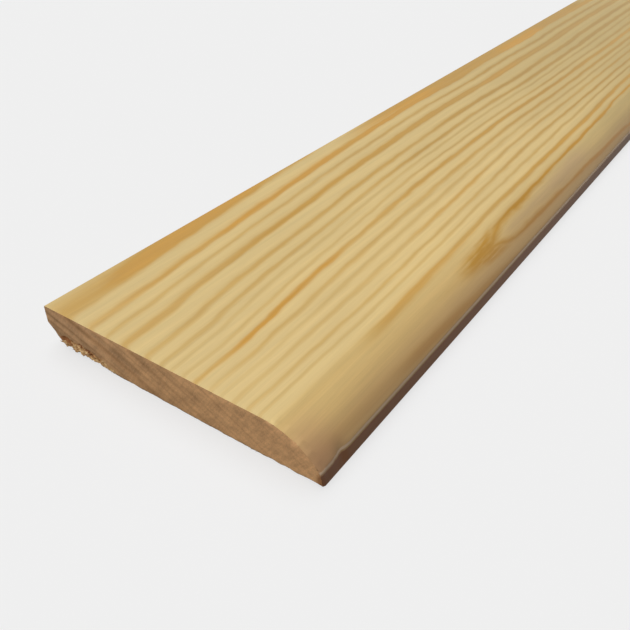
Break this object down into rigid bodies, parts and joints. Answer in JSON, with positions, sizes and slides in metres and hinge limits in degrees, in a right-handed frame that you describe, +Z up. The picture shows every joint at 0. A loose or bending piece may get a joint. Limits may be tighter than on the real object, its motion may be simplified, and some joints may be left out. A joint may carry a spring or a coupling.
{
  "type": "skirting board",
  "caption": "Flat pine skirting board with a rounded top edge, a narrow flat under it and a back-bevelled floor edge, sawn square at the ends.",
  "frame": {"origin": "middle of the underside's outline, on the level floor that the board lies on", "axes": "+X along the board, +Y across it from the rounded top edge to the floor edge, +Z up, out of the show face"},
  "size_m": [2.4, 0.09, 0.012],
  "materials": {
    "pine": "planed and clear-finished pine, satin, with the grain along the length"
  },
  "bodies": {
    "root": {"skirting_board": "pine"}
  },
  "joints": []
}
